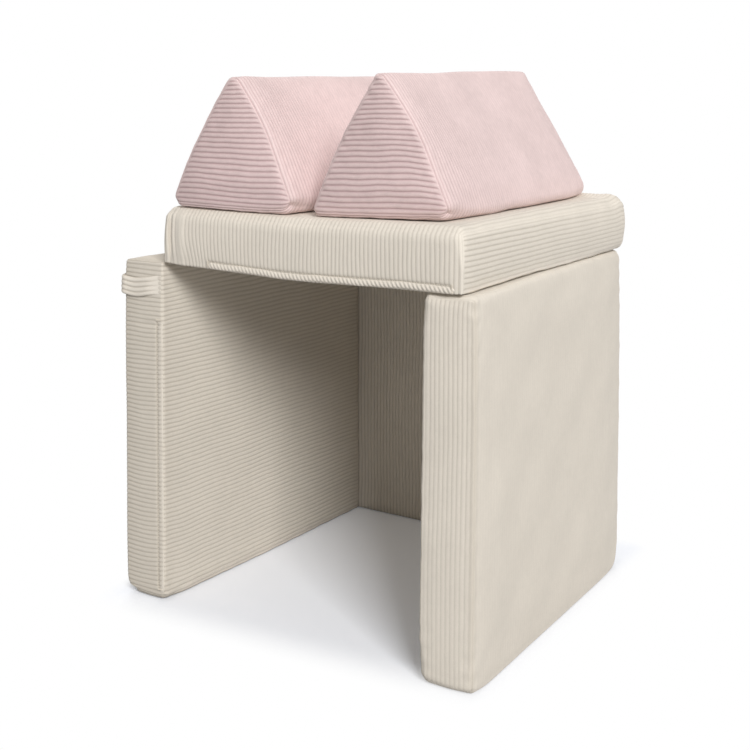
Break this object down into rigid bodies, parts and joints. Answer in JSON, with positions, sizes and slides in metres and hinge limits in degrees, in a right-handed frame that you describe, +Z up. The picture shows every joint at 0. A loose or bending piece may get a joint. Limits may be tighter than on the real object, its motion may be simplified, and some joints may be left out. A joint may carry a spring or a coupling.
{
  "type": "modular foam play sofa",
  "caption": "Foam play sofa put up as a den: padded corduroy sections that fold in pairs form the walls and roof, with loose triangular wedges on top.",
  "frame": {"origin": "on the floor under the middle of the bounding box of the den", "axes": "+X from the left wall to the right wall, +Y from the open front to the back wall, +Z up"},
  "size_m": [0.7249, 0.7056, 0.9213],
  "materials": {
    "cream_corduroy": "wide-wale cotton corduroy, matte",
    "pink_corduroy": "wide-wale cotton corduroy, matte",
    "foam": "open-cell polyurethane foam",
    "cream_tape": "woven tape",
    "pink_tape": "woven tape",
    "zip_metal": "plated zinc alloy"
  },
  "bodies": {
    "left_panel": {"left_panel_cover": "cream_corduroy", "left_panel_core": "foam", "left_panel_zip_flap": "cream_corduroy", "left_panel_zip_chain": "cream_tape", "carry_strap": "cream_corduroy"},
    "roof_panel": {"roof_panel_cover": "cream_corduroy", "roof_panel_core": "foam", "roof_panel_zip_flap": "cream_corduroy", "roof_panel_zip_chain": "cream_tape", "left_roof_fold_seam": "cream_tape"},
    "back_panel": {"back_panel_cover": "cream_corduroy", "back_panel_core": "foam", "back_panel_zip_flap": "cream_corduroy", "back_panel_zip_chain": "cream_tape"},
    "right_panel": {"right_panel_cover": "cream_corduroy", "right_panel_core": "foam", "right_panel_zip_flap": "cream_corduroy", "right_panel_zip_chain": "cream_tape", "back_right_fold_seam": "cream_tape"},
    "left_wedge": {"left_wedge_cover": "pink_corduroy", "left_wedge_core": "foam", "left_wedge_zip_flap": "pink_corduroy", "left_wedge_zip_chain": "pink_tape"},
    "right_wedge": {"right_wedge_cover": "pink_corduroy", "right_wedge_core": "foam", "right_wedge_zip_flap": "pink_corduroy", "right_wedge_zip_chain": "pink_tape"},
    "left_panel_slider": {"left_panel_zip_slider": "zip_metal"},
    "roof_panel_slider": {"roof_panel_zip_slider": "zip_metal"},
    "back_panel_slider": {"back_panel_zip_slider": "zip_metal"},
    "right_panel_slider": {"right_panel_zip_slider": "zip_metal"},
    "left_wedge_slider": {"left_wedge_zip_slider": "zip_metal"},
    "right_wedge_slider": {"right_wedge_zip_slider": "zip_metal"}
  },
  "joints": [
    {"name": "right_wall_fold", "type": "hinge", "parent": "back_panel", "child": "right_panel", "pos_m": [0.23552, 0.2569, 0.3], "axis": [0, 0, 1], "range_deg": [-50, 86.8]},
    {"name": "left_wall_slide", "type": "slide", "parent": "back_panel", "child": "left_panel", "axis": [-1, 0, 0], "range_m": [0, 0.6]},
    {"name": "roof_fold", "type": "hinge", "parent": "left_panel", "child": "roof_panel", "pos_m": [-0.26048, -0.0434, 0.6003], "axis": [0, -1, 0], "range_deg": [0, 90]},
    {"name": "left_wedge_lift", "type": "slide", "parent": "roof_panel", "child": "left_wedge", "axis": [0, 0, 1], "range_m": [0, 0.3]},
    {"name": "right_wedge_lift", "type": "slide", "parent": "roof_panel", "child": "right_wedge", "axis": [0, 0, 1], "range_m": [0, 0.3]},
    {"name": "left_panel_zip", "type": "slide", "parent": "left_panel", "child": "left_panel_slider", "axis": [0, 0, 1], "range_m": [0, 0.444]},
    {"name": "roof_panel_zip", "type": "slide", "parent": "roof_panel", "child": "roof_panel_slider", "axis": [-1, 0, 0], "range_m": [0, 0.444]},
    {"name": "back_panel_zip", "type": "slide", "parent": "back_panel", "child": "back_panel_slider", "axis": [1, 0, 0], "range_m": [0, 0.444]},
    {"name": "right_panel_zip", "type": "slide", "parent": "right_panel", "child": "right_panel_slider", "axis": [-0.0557, 0.9985, 0], "range_m": [0, 0.444]},
    {"name": "left_wedge_zip", "type": "slide", "parent": "left_wedge", "child": "left_wedge_slider", "axis": [0.0349, -0.9994, 0], "range_m": [0, 0.373]},
    {"name": "right_wedge_zip", "type": "slide", "parent": "right_wedge", "child": "right_wedge_slider", "axis": [0.0349, -0.9994, 0], "range_m": [0, 0.373]}
  ]
}
